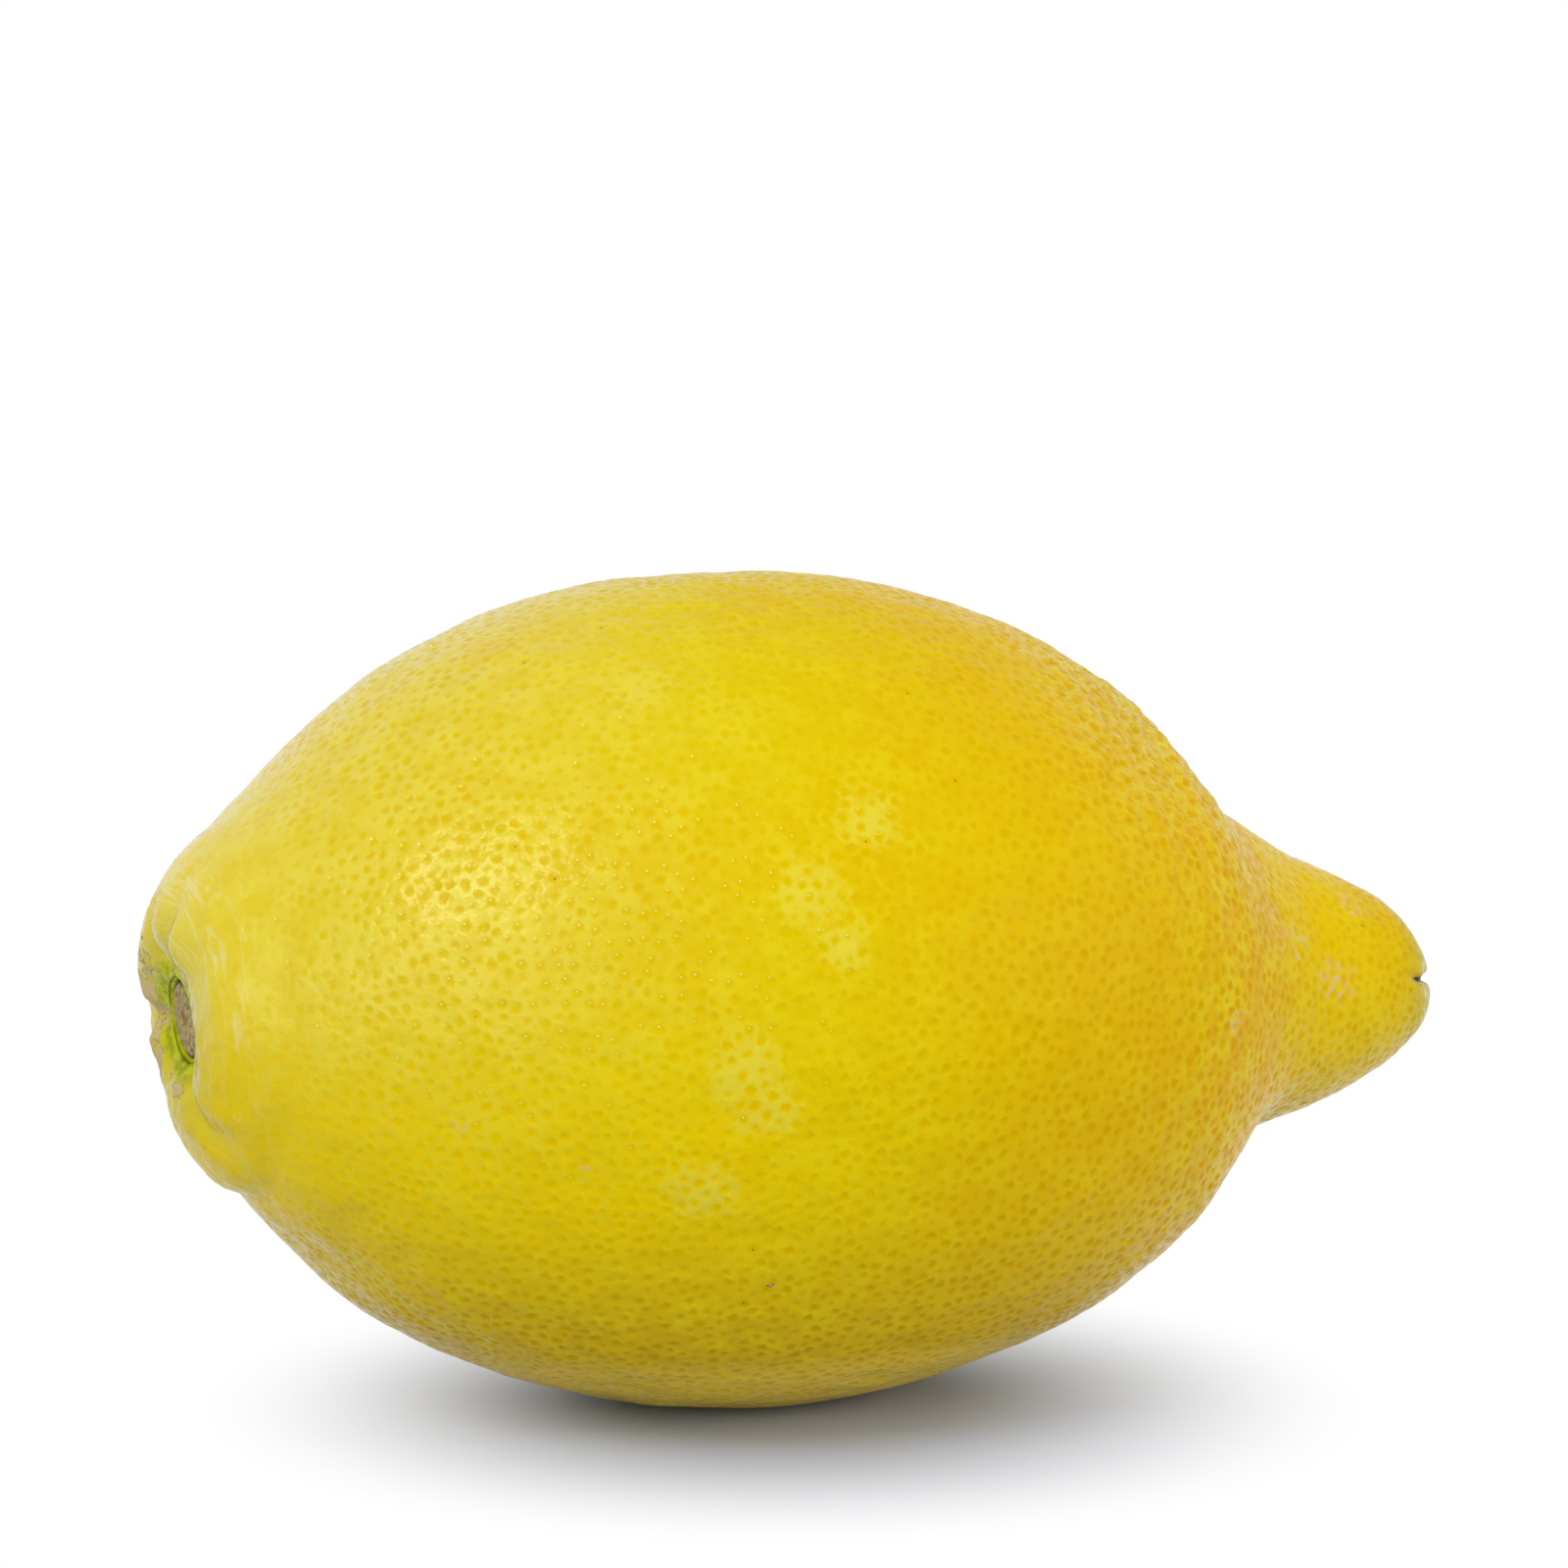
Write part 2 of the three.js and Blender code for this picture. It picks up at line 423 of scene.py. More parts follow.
def cutFaces():
    # Each face of the net becomes a fan piece at each pore and one flat piece of land between them.
    made = []
    for face, itsEdges in zip(net.tolist(), edgeOf.tolist()):
        land = []
        for k in range(3):
            corner = face[k]
            ahead, behind = itsEdges[k], itsEdges[k - 1]
            if not isPore[corner]:
                land.append(corner)
                continue
            towardsNext = int(ringNumbers[ahead, 0 if edges[ahead, 0] == corner else 1])
            towardsLast = int(ringNumbers[behind, 0 if edges[behind, 0] == corner else 1])
            made.append((corner, towardsNext, towardsLast))
            land += [towardsLast, towardsNext]
        made.append(tuple(land))
    return made


relief = {
    "swell": 0.16, "swellSize": 11,         # very slight unevenness of the whole fruit
    "lumps": 0.07, "lumpSize": 2.8,         # between the pores
    "low": 0.12, "lowSize": 3.4,            # on the lower side, towards the stem end
    "lowFrom": (110, 150),                  # around, from the top
    "lowGoes": (-12, 12),                   # along
    "rough": 0.20, "roughSize": 1.8,        # on the shoulder and round the root of the nipple
    "collar": 0.16, "collarSize": 1.3,
    "collarEnds": (8, 12),                  # outwards from the middle of the stub
}
# Mounds, and hollows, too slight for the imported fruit: along, around, their reaches and their height.
mounds = [
    (-14, 355, 8, 40, 0.38),
    (-31.8, 160, 3.6, 40, -1.15),
    (-22, 161, 6, 28, -0.35),
    (-37.3, 170, 1.9, 30, 0.4),
    (8.5, 149, 8, 30, -0.35),
    (17, 144, 6, 26, -0.3),
    (9, 4, 8, 30, 0.3),
    (-32.5, 0, 5, 34, -0.42),
    (25, 22, 3.5, 26, -0.36),
    (33, 24, 2.2, 26, 0.42),
    (-9, 160, 10, 30, -0.2),
    (29.7, 40, 1.7, 26, 0.15),
    (46, 20, 6, 60, -0.32),
    (45, 130, 6, 50, 0.27),
    (31, 130, 2.4, 26, 0.32),
    (-41.2, 235, 1.6, 40, -0.4),
    (-41.9, 90, 0.8, 50, -0.6),
    (-41.6, 325, 1.5, 30, -0.25),
    (28.0, 22, 1.4, 24, -0.25),
]
palePatches = [                     # along, around and reach
    (-4, 67, 3.2),
    (-2, 74, 2.2),
    (1, 57, 3.0),
    (-9, 90, 3.2),
    (-7, 96, 2.6),
    (-11, 108, 3.0),
    (-13, 32, 3.4),
]
scars = [                           # the same
    (36, 64, 2.3),
    (39, 67, 1.5),
    (43, 81, 2.2),
    (31, 88, 1.2),
    (45.5, 40, 1.3),
    (-26.6, 103, 0.9),
    (-18.8, 106, 0.6),
]


def spotted(points, spots):         # 1 in the middle of each spot
    along, around, radius = placeOf(points)
    found = np.zeros(len(points))
    for spotAlong, spotAround, reach in spots:
        sideways = np.radians(turnBetween(around, spotAround)) * radius
        found = np.maximum(found, bell(np.hypot(along - spotAlong, sideways), reach))
    return found


regions = {                         # the stretch along the fruit where a kind of skin comes or goes
    "pale": (-34, 2),
    "paleBelow": (-5, 25),
    "paleUnderTip": (36, 44),
    "gold": (-14, 28),
    "goldFades": (38, 46),
    "goldRing": (34, 5),            # its middle, and its reach
    "quiet": (-41, -29),            # where the pores are still shallow and faint
    "clear": (-24, -6),
    "paintedLight": (-18, 14),            # painted light: along the lower side
    "nipple": ((35, 40), (44, 48)),
    "tipGreen": (48.5, 54.5),
    "slit": (50.2, 51.4),
    "slitEdge": (49.8, 51.2),
    "low": (65, 125),               # this and the next are angles from the top
    "clearSide": (55, 105),
    "under": (-22, -3),             # heights over the table, as minus values; painted shade, darker towards the table
}
strengths = {                       # how strong some of them are
    "paleBelow": 0.14,
    "paleUnderTip": 0.16,
    "paleLessBelow": 0.8,
    "gold": 0.78,
    "goldLessAtTip": 0.3,
    "goldRing": 0.35,
    "clear": 0.8,
    "clearLessQuiet": 0.75,
    # painted light, as a lighter and stronger yellow
    "brightBelow": 0.9,
    "brightNipple": 0.45,
    # where painted glints on the pores gather, round the highlight
    "waxy": 0.7,
}
paleSlant = 12                      # the pale skin ends this much sooner below
nippleSlant = 6                     # and the painted light on the nipple later
# Where the painted glints on the pores gather, round the highlight.
paintedGlintSpot = {
    "along": -19,
    "around": 70,
    "reach": 12,
    "turn": 1.8,                    # degrees for each millimetre
}
collarRegions = {                   # stretches outwards from the middle of the stub
    "green": (3.5, 5.0),
    "olive": (5.5, 10.5),
    "cork": ((4.3, 5.3), (6.6, 8.4)),
    "corkBelow": ((3.9, 4.4), (4.9, 6)),
    # the creases: their ridges, and a painted highlight along them
    "creased": ((6.2, 7.4), (8.6, 14)),
}
collarSides = {                     # around the stub, and how far each reaches
    "far": (275, 60),
    "below": (180, 26),
    "above": (35, 75),
}
greenSlant = 0.7                    # the green reaches this much further out on the far side


def collarShares(points):
    along, _, _ = placeOf(points)
    _, stemAround, stemRadius = stemPlaceOf(points)
    sides = {name: onSide(stemAround, *place) for name, place in collarSides.items()}
    cork = band(stemRadius, *collarRegions["cork"]) * sides["far"]
    cork = cork + band(stemRadius, *collarRegions["corkBelow"]) * sides["below"]
    made = {
        "collarGreen": 1 - eased(stemRadius - greenSlant * sides["far"], *collarRegions["green"]),
        "collarOlive": 1 - eased(stemRadius, *collarRegions["olive"]),
        "corky": np.minimum(cork, 1),
        "creased": band(stemRadius, *collarRegions["creased"]) * sides["above"],
    }
    return {name: np.where(along < 0, values, 0) for name, values in made.items()}


def paleShare(along, low):
    pale = 1 - eased(along + paleSlant * low, *regions["pale"])
    below = strengths["paleBelow"] * eased(along, *regions["paleBelow"])
    below = below + strengths["paleUnderTip"] * eased(along, *regions["paleUnderTip"])
    return np.maximum(pale * (1 - strengths["paleLessBelow"] * low), low * below)


def goldShare(along):
    fades = 1 - strengths["goldLessAtTip"] * eased(along, *regions["goldFades"])
    gold = strengths["gold"] * eased(along, *regions["gold"]) * fades
    ringAt, ringReach = regions["goldRing"]
    return np.minimum(gold + strengths["goldRing"] * bell(along - ringAt, ringReach), 1)


# Painted light: a lighter, stronger yellow along the lower side and on the nipple.
def brightShare(along, low):
    below = strengths["brightBelow"] * low * (1 - eased(along, *regions["paintedLight"]))
    comesIn, goes = regions["nipple"]
    onNipple = eased(along, *comesIn) * (1 - eased(along - nippleSlant * low, *goes))
    return np.maximum(below, strengths["brightNipple"] * onNipple)


# The painted glints gather round the highlight.
def paintedGlintShare(along, around):
    sideways = turnBetween(around, paintedGlintSpot["around"]) / paintedGlintSpot["turn"]
    away = np.hypot(along - paintedGlintSpot["along"], sideways)
    return strengths["waxy"] * bell(away, paintedGlintSpot["reach"])


def regionShares(points):
    # How much of each kind of skin there is at each point, from 0 to 1.
    along, around, _ = placeOf(points)
    fromTop = np.abs(turnBetween(around, 0))
    low = eased(fromTop, *regions["low"])
    quiet = 1 - eased(along, *regions["quiet"])
    fromSide = strengths["clear"] + (1 - strengths["clear"]) * eased(fromTop, *regions["clearSide"])
    clearness = np.maximum(fromSide, 1 - eased(along, *regions["clear"]))
    onSlit, bySlit = slitShare(points, slit["darkWidth"]), slitShare(points, slit["brownWidth"])
    return {
        "pale": paleShare(along, low),
        "gold": goldShare(along),
        "rough": onShoulder(points),
        "quiet": quiet,
        "clearness": clearness * (1 - strengths["clearLessQuiet"] * quiet),
        "tipGreen": eased(along, *regions["tipGreen"]),
        "slit": onSlit * eased(along, *regions["slit"]),
        "slitEdge": bySlit * eased(along, *regions["slitEdge"]),
        # painted shade, darker and warmer towards the table
        "under": eased(-points[:, 2], *regions["under"]),
        # painted light along the lower side and on the nipple
        "paintedLight": brightShare(along, low),
        # where painted glints gather, round the highlight
        "waxy": paintedGlintShare(along, around),
        "patch": spotted(points, palePatches),
        "scar": spotted(points, scars),
        **collarShares(points),
    }


def reliefAt(points):
    along, around, _ = placeOf(points)
    _, _, stemRadius = stemPlaceOf(points)
    onCollar = np.where(along < 0, 1 - eased(stemRadius, *relief["collarEnds"]), 0)
    low = eased(np.abs(turnBetween(around, 0)), *relief["lowFrom"])
    low = low * (1 - eased(along, *relief["lowGoes"]))
    height = relief["swell"] * wander(points, relief["swellSize"], 1)
    height = height + relief["lumps"] * wander(points, relief["lumpSize"], 2)
    height = height + low * relief["low"] * wander(points, relief["lowSize"], 3)
    height = height + onShoulder(points) * relief["rough"] * wander(points, relief["roughSize"], 4)
    height = height + onCollar * relief["collar"] * wander(points, relief["collarSize"], 5)
    for middle, side, alongReach, aroundReach, rise in mounds:
        height = height + rise * bell(along - middle, alongReach) * onSide(around, side, aroundReach)
    return height - slit["depth"] * slitShare(points, slit["width"])


streakRadius = 1.2                  # far less than the real one, so that streaks run round the stub


def addAttribute(mesh, name, values):
    values = np.asarray(values, np.float32)
    kind, field = ("FLOAT", "value") if values.ndim == 1 else ("FLOAT_VECTOR", "vector")
    mesh.attributes.new(name, kind, "POINT").data.foreach_set(field, values.ravel())


def addObject(name, data):
    made = bpy.data.objects.new(name, data)
    bpy.context.scene.collection.objects.link(made)
    return made


def ringFaces(first, second, corners):      # between two rings, given their first points
    nexts = [(k + 1) % corners for k in range(corners)]
    return [(first + k, first + n, second + n, second + k) for k, n in enumerate(nexts)]


def fanFaces(ring, middle, corners):
    return [(ring + k, ring + (k + 1) % corners, middle) for k in range(corners)]


def seatRings(first):
    # The socket's wall and floor, from its mouth inwards. Gives the new points and faces.
    corners, steps = socket["corners"], socket["lip"]
    circle = ringOf(corners)
    ragged = socket["lipRough"] * wander(circle * 3, 0.9, 8)[:, None]
    rings = [stubMiddle + (radius + ragged) * circle + out * stemOut for radius, out in steps]
    spots = np.vstack([*rings, [stubMiddle + steps[-1][1] * stemOut]])
    starts = [0] + [first + ring * corners for ring in range(len(steps))]
    faces = []
    for last, this in zip(starts, starts[1:]):
        faces += ringFaces(last, this, corners)
    faces += fanFaces(starts[-1], first + len(steps) * corners, corners)
    return spots, faces


def rindSpots():
    # Every point of the rind: the net's own points, then the rings of the dimples, raised or sunk.
    centres = np.vstack([points, ringSpots])
    facing = np.vstack([normals, ringNormals])
    depth = np.zeros(len(centres))
    depth[:len(points)][isPore] = 0.5 + chance.random(int(isPore.sum()))
    shares = regionShares(centres)
    usual = pores["depth"] * (1 - (1 - pores["quietDepth"]) * shares["quiet"])
    depth = depth * (usual + pores["roughDepth"] * shares["rough"])
    height = reliefAt(centres) - depth
    height[:socket["corners"]] = 0
    spots = centres + height[:, None] * facing
    spots[:, 2] = np.maximum(spots[:, 2], fruitLow[2])
    return spots


def storeLooks(mesh, spots):
    # What the material draws on: each point's place in its pore, and its share of each kind of skin.
    rings = slice(len(points), len(points) + len(ringSpots))
    offset = np.zeros((len(spots), 3))
    offset[rings] = ringSpots - points[ringOwners]
    inPore = np.zeros(len(spots))
    inPore[:len(points)][isPore] = 1
    poreTone = chance.random(len(points))
    tone = np.zeros(len(spots))
    tone[:len(points)] = poreTone
    tone[rings] = poreTone[ringOwners]
    _, stemAround, stemRadius = stemPlaceOf(spots)
    turn = np.radians(stemAround)
    hoop = [stemRadius, streakRadius * np.cos(turn), streakRadius * np.sin(turn)]
    addAttribute(mesh, "hoop", np.stack(hoop, axis=1))
    addAttribute(mesh, "poreOffset", offset)
    addAttribute(mesh, "inPore", inPore)
    addAttribute(mesh, "poreTone", tone)
    for name, values in regionShares(spots).items():
        addAttribute(mesh, name, values)


def makeRind():
    spots = rindSpots()
    seatSpots, seatFaces = seatRings(len(spots))
    everySpot = np.vstack([spots, seatSpots])
    mesh = bpy.data.meshes.new("rind")
    mesh.from_pydata((raiseStem(everySpot) * mm).tolist(), [], cutFaces() + seatFaces)
    mesh.update()
    mesh.shade_smooth()
    storeLooks(mesh, everySpot)
    return addObject("rind", mesh)


# Small helpers for building materials out of nodes.

def newTree(name):
    material = bpy.data.materials.new(name)
    material.use_nodes = True
    return material, material.node_tree


def setInputs(tree, node, inputs):      # to values or to other nodes' outputs
    for key, value in inputs.items():
        if isinstance(value, bpy.types.NodeSocket):
            tree.links.new(value, node.inputs[key])
        else:
            node.inputs[key].default_value = value


def add(tree, kind, inputs=None, **settings):
    made = tree.nodes.new("ShaderNode" + kind)
    for name, value in settings.items():
        setattr(made, name, value)
    setInputs(tree, made, inputs or {})
    return made


def stored(tree, name, output="Fac"):       # an attribute of the mesh
    return add(tree, "Attribute", attribute_name=name).outputs[output]


def calc(tree, operation, first, second=0.0):
    return add(tree, "Math", {0: first, 1: second}, operation=operation).outputs[0]


def times(tree, first, second):
    return calc(tree, "MULTIPLY", first, second)


def plus(tree, first, second):
    return calc(tree, "ADD", first, second)


def larger(tree, first, second):
    return calc(tree, "MAXIMUM", first, second)


def offMiddle(tree, value):         # thin winding lines lie where a noise is near its middle
    return calc(tree, "ABSOLUTE", calc(tree, "SUBTRACT", value, 0.5))


def vectors(tree, operation, first, second=(0, 0, 0)):
    made = add(tree, "VectorMath", {0: first, 1: second}, operation=operation)
    return made.outputs["Value" if operation in ("LENGTH", "DISTANCE") else "Vector"]


def spread(tree, value, low, high, lowTo=0.0, highTo=1.0):
    inputs = {"Value": value, "From Min": low, "From Max": high, "To Min": lowTo, "To Max": highTo}
    return add(tree, "MapRange", inputs, interpolation_type="SMOOTHSTEP").outputs["Result"]


def blend(tree, amount, first, second, mode="MIX"):
    first, second = (c if isinstance(c, bpy.types.NodeSocket) else (*c, 1) for c in (first, second))
    inputs = {0: amount, 6: first, 7: second}
    return add(tree, "Mix", inputs, data_type="RGBA", blend_type=mode).outputs[2]


def cloud(tree, place, size, detail=2.0, roughness=0.5):    # noise with lumps of one size
    inputs = {"Vector": place, "Scale": 1 / size, "Detail": detail, "Roughness": roughness}
    return add(tree, "TexNoise", inputs).outputs["Fac"]


def millimetres(tree):
    place = add(tree, "TexCoord").outputs["Object"]
    return add(tree, "VectorMath", {0: place, 3: 1 / mm}, operation="SCALE").outputs[0]


rindLook = {                        # colours are linear
    "yellow": (0.80, 0.605, 0.001),
    "deepYellow": (0.80, 0.565, 0.0005),
    "gold": (0.815, 0.46, 0.0005),
    "lighter": (0.845, 0.665, 0.008),
    "pale": (0.83, 0.685, 0.045),
    "cream": (0.87, 0.67, 0.04),
    # wax: a painted highlight, whitish, along the creases above the stalk
    "wax": (0.88, 0.79, 0.38),
    "scar": (0.82, 0.55, 0.22),
    # painted light: a lighter, stronger yellow along the lower side and on the nipple
    "paintedLight": (0.92, 0.655, 0.002),
    # painted shade: darker and warmer towards the table, and painted light on the very bottom rim
    "under": (0.75, 0.485, 0.01),
    "paintedRimLight": (0.98, 0.70, 0.09),
    "tipGreen": (0.55, 0.49, 0.03),
    "collarGreen": (0.56, 0.60, 0.015),
    "collarShade": (0.36, 0.38, 0.01),
    "collarOlive": (0.70, 0.57, 0.03),
    "cork": (0.64, 0.49, 0.23),
    "corkEdge": (0.24, 0.18, 0.05),
    "speck": (0.20, 0.14, 0.01),
    "slit": (0.06, 0.03, 0.01),
    "poreTint": (0.985, 0.955, 0.01),
    "poreTintGold": (0.93, 0.84, 0.02),
    # painted shade on the pores towards the table
    "poreTintUnder": (0.80, 0.75, 0.25),
    "poreReach": (0.34, 0.54),      # radius of the smallest and the largest
    "poreReachRough": 0.14,         # what the shoulder adds
    "roughness": 0.17,
    "corkRoughness": 0.8,
    "specular": 0.03,
    "waxySpecular": 0.46,           # where the rind is pale and waxy
    "roughSpecular": 0.03,          # what the shoulder adds
    "linesFrom": (0.62, 1.1),       # pale lines between pores, as shares of the reach of a pore
    "poreGloss": 0.3,               # share of the gloss that is left in a pore
    "dullGloss": 0.15,              # and in the green of the collar and the slit
    "specularTint": (1.0, 0.96, 0.62),
    "subsurface": 0.12,
    "subsurfaceReach": (1.0, 0.7, 0.2),
    # a painted highlight, a glint, on the upper edge of some pores
    "glint": (1.0, 0.93, 0.3),
    "glintAt": (-0.06, 0, 0.17),    # from the middle of its pore, seen from the side
    "glintReach": (0.03, 0.09),
    "glintLuck": (0.97, 1.05),      # how few pores have one
    "speckReach": (0.04, 0.1),
    "speckLuck": (0.995, 0.997),
}
rindGrain = {                       # sizes of the lumps in its noises
    "drift": 12,
    "mottle": 2.4,
    "fine": 0.7,
    "vein": 2.2,
    "streak": 1.1,
    "island": 1.7,
    "uneven": 2.8,
    "tiny": 0.3,
    "wobble": 1 / 2.2,              # of the edges of the pores
}
rindBump = {                        # heights
    "pore": -0.05,
    "uneven": 0.30,
    "vein": 0.05,
    "ridge": 0.04,
    "tiny": 0.026,
    "cork": 0.07,
}


def rindNoises(tree, place):
    size = rindGrain
    lengthwise = vectors(tree, "MULTIPLY", place, (0.3, 1, 1))
    vein = offMiddle(tree, cloud(tree, lengthwise, size["vein"], 3, 0.6))
    streak = cloud(tree, stored(tree, "hoop", "Vector"), size["streak"], 2, 0.5)
    corky = times(tree, stored(tree, "corky"), 0.44)
    return {
        "drift": cloud(tree, place, size["drift"], 2),
        "mottle": cloud(tree, place, size["mottle"], 4, 0.62),
        "fine": cloud(tree, place, size["fine"], 3, 0.6),
        "vein": times(tree, spread(tree, vein, 0.0, 0.05, 0.85, 0.0), stored(tree, "rough")),
        "streak": offMiddle(tree, streak),
        "island": plus(tree, cloud(tree, place, size["island"], 2, 0.6), corky),
        "uneven": cloud(tree, place, size["uneven"], 3),
        "tiny": cloud(tree, place, size["tiny"], 3),
        "wobble": cloud(tree, place, size["wobble"], 1),
    }


def poreParts(tree, grain):
    # Pores are soft round discs, wider on the rough shoulder.
    tone, offset = stored(tree, "poreTone"), stored(tree, "poreOffset", "Vector")
    distance = vectors(tree, "LENGTH", offset)
    reach = spread(tree, tone, 0, 1, *rindLook["poreReach"])
    reach = plus(tree, reach, times(tree, stored(tree, "rough"), rindLook["poreReachRough"]))
    reach = times(tree, reach, spread(tree, grain["wobble"], 0.3, 0.7, 0.75, 1.25))
    nearness = calc(tree, "DIVIDE", distance, reach)
    inside = calc(tree, "GREATER_THAN", stored(tree, "inPore"), 0.001)
    seen = times(tree, spread(tree, tone, 0, 1, 0.6, 1.0), stored(tree, "clearness"))
    disc = times(tree, spread(tree, nearness, 0.0, 1.25, 1.0, 0.0), inside)
    return {
        "tone": tone,
        "offset": offset,
        "distance": distance,
        "nearness": nearness,
        "inside": inside,
        "disc": times(tree, disc, seen),
    }


def groundColour(tree, grain, pore):
    # Yellow, gold towards the tip, lighter along the lower side and on the nipple as painted light,
    # darker and warmer towards the table as painted shade, with painted light on the fruit's very
    # bottom rim, and paler in patches and in flecks.
    look, gold, under = rindLook, stored(tree, "gold"), stored(tree, "under")
    mottle, fine = grain["mottle"], grain["fine"]
    colour = blend(tree, spread(tree, grain["drift"], 0.4, 0.66), look["yellow"], look["deepYellow"])
    goldShare = times(tree, gold, spread(tree, mottle, 0.34, 0.64, 1.05, 0.85))
    colour = blend(tree, goldShare, colour, look["gold"])
    # painted light along the lower side and on the nipple
    colour = blend(tree, stored(tree, "paintedLight"), colour, look["paintedLight"])
    # painted shade towards the table, with painted light on the very bottom rim
    paintedShadeAndRim = blend(tree, spread(tree, under, 0.86, 1.0), look["under"], look["paintedRimLight"])
    colour = blend(tree, under, colour, paintedShadeAndRim)
    between = spread(tree, pore["disc"], 0, 0.7, 1.0, 0.0)
    fleck = plus(tree, mottle, times(tree, fine, 0.5))
    fleck = times(tree, spread(tree, fleck, 0.64, 0.94, 0.0, 0.7), between)
    flecked = larger(tree, spread(tree, gold, 0, 0.6, 1.0, 0.3), spread(tree, gold, 0.68, 0.9))
    colour = blend(tree, times(tree, fleck, flecked), colour, look["lighter"])
    pale = times(tree, stored(tree, "pale"), spread(tree, mottle, 0.34, 0.68, 0.15, 1.0))
    patch = plus(tree, stored(tree, "patch"), plus(tree, mottle, fine))
    pale = larger(tree, pale, spread(tree, patch, 1.3, 2.0, 0.0, 0.9))
    return blend(tree, times(tree, pale, between), colour, look["pale"])


def drawLines(tree, colour, grain, pore):
    # Thin pale lines between the pores of the shoulder, a painted highlight along the creases round the
    # stem end, and scars.
    look, fine = rindLook, grain["fine"]
    line = times(tree, spread(tree, pore["nearness"], *look["linesFrom"]), stored(tree, "rough"))
    line = times(tree, line, spread(tree, fine, 0.42, 0.62, 0.1, 0.75))
    colour = blend(tree, larger(tree, line, grain["vein"]), colour, look["cream"])
    # the creases above the stalk get a painted highlight in the wax colour
    crease = times(tree, spread(tree, grain["streak"], 0.0, 0.035, 1.0, 0.0), stored(tree, "creased"))
    crease = times(tree, crease, spread(tree, grain["mottle"], 0.4, 0.6, 0.3, 1.0))
    colour = blend(tree, crease, colour, look["wax"])
    scar = spread(tree, stored(tree, "scar"), 0.3, 0.8)
    scar = times(tree, scar, spread(tree, fine, 0.46, 0.62, 0.0, 0.75))
    return blend(tree, scar, colour, look["scar"])


def paintEnds(tree, colour, grain):
    # The collar is olive, and green towards the stub. The tip is green too.
    look = rindLook
    colour = blend(tree, stored(tree, "collarOlive"), colour, look["collarOlive"])
    green = spread(tree, grain["fine"], 0.4, 0.6)
    green = blend(tree, green, look["collarShade"], look["collarGreen"])
    colour = blend(tree, stored(tree, "collarGreen"), colour, green)
    return blend(tree, stored(tree, "tipGreen"), colour, look["tipGreen"])


def paintPores(tree, colour, pore):
    # Pores are deeper in colour. Some, most of them round the highlight, have a painted highlight, a
    # glint, on the upper edge, and a few a dark speck.
    look, tone = rindLook, pore["tone"]
    shade = spread(tree, stored(tree, "gold"), 0.1, 0.6)
    shade = blend(tree, shade, look["poreTint"], look["poreTintGold"])
    # painted shade on the pores towards the table
    shade = blend(tree, stored(tree, "under"), shade, look["poreTintUnder"])
    colour = blend(tree, pore["disc"], colour, blend(tree, 1.0, colour, shade, "MULTIPLY"))
    sideOn = vectors(tree, "MULTIPLY", pore["offset"], (1, 0, 1))
    away = vectors(tree, "DISTANCE", sideOn, look["glintAt"])
    # painted glints, mostly where the waxy share is high, round the highlight
    luck = calc(tree, "FLOORED_MODULO", times(tree, tone, 7.3), 1)
    chosen = spread(tree, plus(tree, luck, stored(tree, "waxy")), *look["glintLuck"], 0.0, 0.8)
    glint = times(tree, spread(tree, away, *look["glintReach"], 1.0, 0.0), pore["inside"])
    colour = blend(tree, times(tree, glint, chosen), colour, look["glint"])
    speck = times(tree, spread(tree, pore["distance"], *look["speckReach"], 1.0, 0.0), pore["inside"])
    speck = times(tree, speck, spread(tree, tone, *look["speckLuck"]))
    return blend(tree, speck, colour, look["speck"])


def paintCork(tree, colour, grain):
    # Corky islands with a dark edge on the collar, then the brown edge and dark middle of the slit.
    look, fine, island = rindLook, grain["fine"], grain["island"]
    colour = blend(tree, spread(tree, island, 0.79, 0.81), colour, look["corkEdge"])
    cork = blend(tree, spread(tree, fine, 0.45, 0.7), look["cork"], look["collarOlive"])
    colour = blend(tree, spread(tree, island, 0.805, 0.825), colour, cork)
    browned = times(tree, stored(tree, "slitEdge"), spread(tree, fine, 0.3, 0.7, 0.6, 1.1))
    colour = blend(tree, spread(tree, browned, 0.35, 0.9), colour, look["corkEdge"])
    return blend(tree, spread(tree, stored(tree, "slit"), 0.4, 0.9), colour, look["slit"])


def rindGloss(tree, pore):
    look = rindLook
    gloss = spread(tree, stored(tree, "pale"), 0, 1, look["specular"], look["waxySpecular"])
    gloss = plus(tree, gloss, times(tree, stored(tree, "rough"), look["roughSpecular"]))
    gloss = times(tree, gloss, spread(tree, pore["disc"], 0, 1, 1.0, look["poreGloss"]))
    dull = larger(tree, stored(tree, "collarGreen"), stored(tree, "slit"))
    return times(tree, gloss, spread(tree, dull, 0, 1, 1.0, look["dullGloss"]))


def rindHeight(tree, grain, pore, cork):
    ridge = times(tree, spread(tree, grain["streak"], 0.0, 0.14, 1.0, 0.0), stored(tree, "creased"))
    layers = {**grain, "pore": pore["disc"], "ridge": ridge, "cork": cork}
    height = 0.0
    for name, rise in rindBump.items():
        height = plus(tree, height, times(tree, layers[name], rise))
    return height


